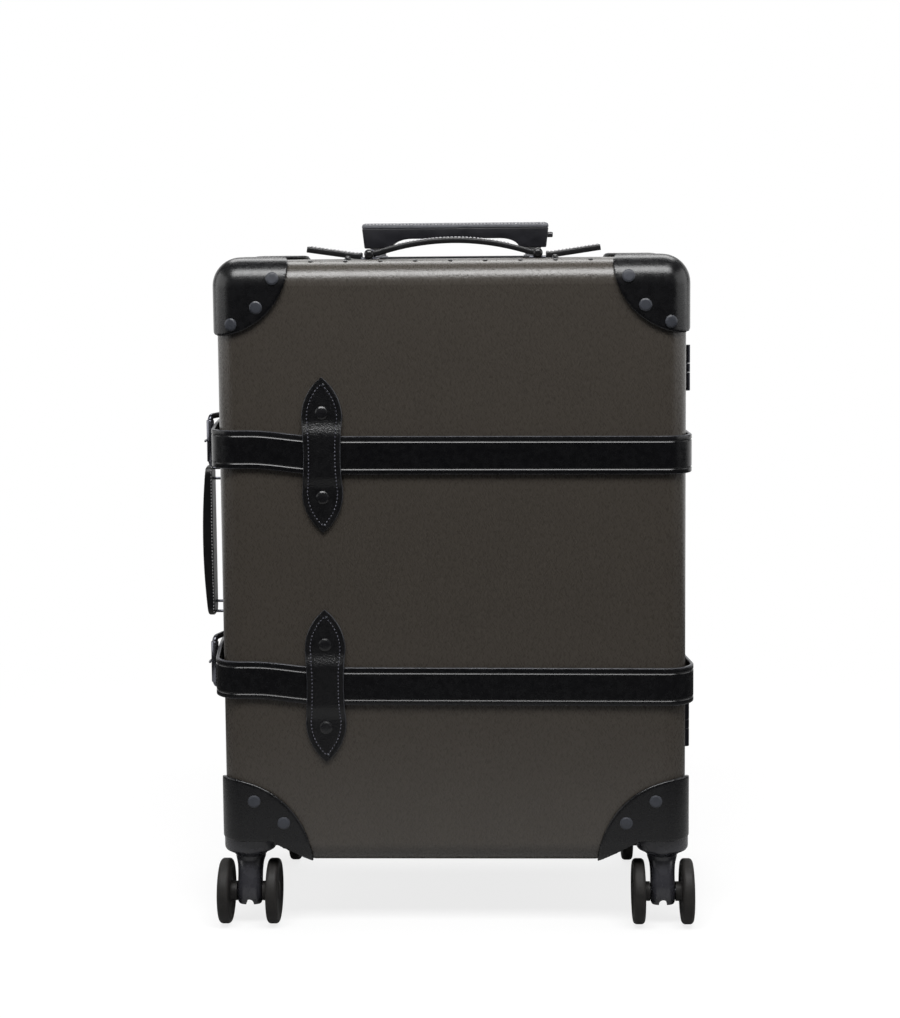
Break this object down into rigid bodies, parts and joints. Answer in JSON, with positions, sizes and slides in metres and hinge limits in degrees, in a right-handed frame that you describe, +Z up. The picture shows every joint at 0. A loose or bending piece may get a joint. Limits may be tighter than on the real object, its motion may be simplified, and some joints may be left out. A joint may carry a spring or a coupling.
{
  "type": "carry-on suitcase",
  "caption": "Hard-sided cabin trolley case in dark fibreboard with black leather corners, buckled belts, leather carry handles, telescoping pull grip and swivelling twin wheels.",
  "frame": {"origin": "on the floor, under the middle of the case's overall box", "axes": "+X to the right seen from the front, +Y from the front panel to the back panel, +Z up"},
  "size_m": [0.4172, 0.2214, 0.581],
  "materials": {
    "fibreboard": "satin, fine hide-like grain, dark grey-brown vulcanised fibre",
    "leather": "semi-gloss black bridle leather",
    "gunmetal": "dark plated metal with bright worn rims",
    "lining": "plain woven cloth",
    "frame": "satin black",
    "tube": "satin anodised",
    "grip": "satin black moulding",
    "wheel": "satin black tread and cheeks",
    "caster": "satin black glass-filled moulding"
  },
  "bodies": {
    "base": {"base_shell": "fibreboard", "base_frame": "frame", "base_lining": "lining", "base_corner_top_left": "leather", "base_corner_top_right": "leather", "base_corner_bottom_left": "leather", "base_corner_bottom_right": "leather", "base_rivets": "gunmetal", "base_caster_cups": "caster", "hinge_base_leaves": "gunmetal", "hinge_pins": "gunmetal", "upper_belt_back": "leather", "upper_keeper_back": "leather", "upper_buckle_frame": "gunmetal", "lower_belt_back": "leather", "lower_keeper_back": "leather", "lower_buckle_frame": "gunmetal", "belt_loops": "leather", "top_handle_straps": "leather", "top_handle_tails": "leather", "top_handle_lugs": "gunmetal", "top_handle_pins": "gunmetal", "side_handle_mounts": "gunmetal", "trolley_outer_tubes": "tube", "trolley_feet": "caster", "trolley_bezel": "grip"},
    "lid": {"lid_shell": "fibreboard", "lid_frame": "frame", "lid_lining": "lining", "lid_rivets": "gunmetal", "lid_caster_cups": "caster", "hinge_lid_leaves": "gunmetal", "upper_belt_front": "leather", "lower_belt_front": "leather", "upper_keeper_front": "leather", "lower_keeper_front": "leather", "lid_corner_top_left": "leather", "lid_corner_top_right": "leather", "lid_corner_bottom_left": "leather", "lid_corner_bottom_right": "leather"},
    "trolley_middle": {"trolley_middle_tubes": "tube"},
    "trolley_grip": {"trolley_inner_tubes": "tube", "grip_body": "grip", "grip_cap": "grip"},
    "release_button": {"grip_button": "grip"},
    "top_handle": {"top_handle_grip": "leather"},
    "side_handle": {"side_handle_grip": "leather", "side_handle_loops": "gunmetal"},
    "upper_prong": {"upper_buckle_prong": "gunmetal"},
    "lower_prong": {"lower_buckle_prong": "gunmetal"},
    "front_left_swivel": {"front_left_fork": "caster"},
    "front_left_wheel_pair": {"front_left_wheels": "wheel"},
    "front_right_swivel": {"front_right_fork": "caster"},
    "front_right_wheel_pair": {"front_right_wheels": "wheel"},
    "rear_left_swivel": {"rear_left_fork": "caster"},
    "rear_left_wheel_pair": {"rear_left_wheels": "wheel"},
    "rear_right_swivel": {"rear_right_fork": "caster"},
    "rear_right_wheel_pair": {"rear_right_wheels": "wheel"}
  },
  "joints": [
    {"name": "lid_hinge", "type": "hinge", "parent": "base", "child": "lid", "pos_m": [0.2052, -0.038, 0.3], "axis": [0, 0, 1], "range_deg": [0, 105]},
    {"name": "trolley_lower_slide", "type": "slide", "parent": "base", "child": "trolley_middle", "axis": [0, 0, 1], "range_m": [0, 0.225]},
    {"name": "trolley_upper_slide", "type": "slide", "parent": "trolley_middle", "child": "trolley_grip", "axis": [0, 0, 1], "range_m": [0, 0.225]},
    {"name": "release_button_press", "type": "slide", "parent": "trolley_grip", "child": "release_button", "axis": [-1, 0, 0], "range_m": [0, 0.003], "stiffness_N_per_m": 400},
    {"name": "top_handle_lift", "type": "slide", "parent": "base", "child": "top_handle", "axis": [0, 0, 1], "range_m": [0, 0.012], "deforming": ["top_handle_straps"]},
    {"name": "side_handle_swing", "type": "hinge", "parent": "base", "child": "side_handle", "pos_m": [-0.1822, 0.015, 0.3075], "axis": [0, 0, 1], "range_deg": [-45, 45]},
    {"name": "upper_prong_swing", "type": "hinge", "parent": "base", "child": "upper_prong", "pos_m": [-0.18415, 0.004, 0.3988], "axis": [0, 0, -1], "range_deg": [0, 30]},
    {"name": "lower_prong_swing", "type": "hinge", "parent": "base", "child": "lower_prong", "pos_m": [-0.18415, 0.004, 0.2094], "axis": [0, 0, -1], "range_deg": [0, 30]},
    {"name": "front_left_swivel_turn", "type": "hinge", "parent": "lid", "child": "front_left_swivel", "pos_m": [-0.1601, -0.076, 0.06], "axis": [0, 0, 1], "continuous": true},
    {"name": "front_left_wheel_spin", "type": "hinge", "parent": "front_left_swivel", "child": "front_left_wheel_pair", "pos_m": [-0.1601, -0.084, 0.02675], "axis": [1, 0, 0], "continuous": true},
    {"name": "front_right_swivel_turn", "type": "hinge", "parent": "lid", "child": "front_right_swivel", "pos_m": [0.1829, -0.076, 0.06], "axis": [0, 0, 1], "continuous": true},
    {"name": "front_right_wheel_spin", "type": "hinge", "parent": "front_right_swivel", "child": "front_right_wheel_pair", "pos_m": [0.1829, -0.084, 0.02675], "axis": [1, 0, 0], "continuous": true},
    {"name": "rear_left_swivel_turn", "type": "hinge", "parent": "base", "child": "rear_left_swivel", "pos_m": [-0.1601, 0.076, 0.06], "axis": [0, 0, 1], "continuous": true},
    {"name": "rear_left_wheel_spin", "type": "hinge", "parent": "rear_left_swivel", "child": "rear_left_wheel_pair", "pos_m": [-0.1601, 0.084, 0.02675], "axis": [1, 0, 0], "continuous": true},
    {"name": "rear_right_swivel_turn", "type": "hinge", "parent": "base", "child": "rear_right_swivel", "pos_m": [0.1829, 0.076, 0.06], "axis": [0, 0, 1], "continuous": true},
    {"name": "rear_right_wheel_spin", "type": "hinge", "parent": "rear_right_swivel", "child": "rear_right_wheel_pair", "pos_m": [0.1829, 0.084, 0.02675], "axis": [1, 0, 0], "continuous": true}
  ]
}
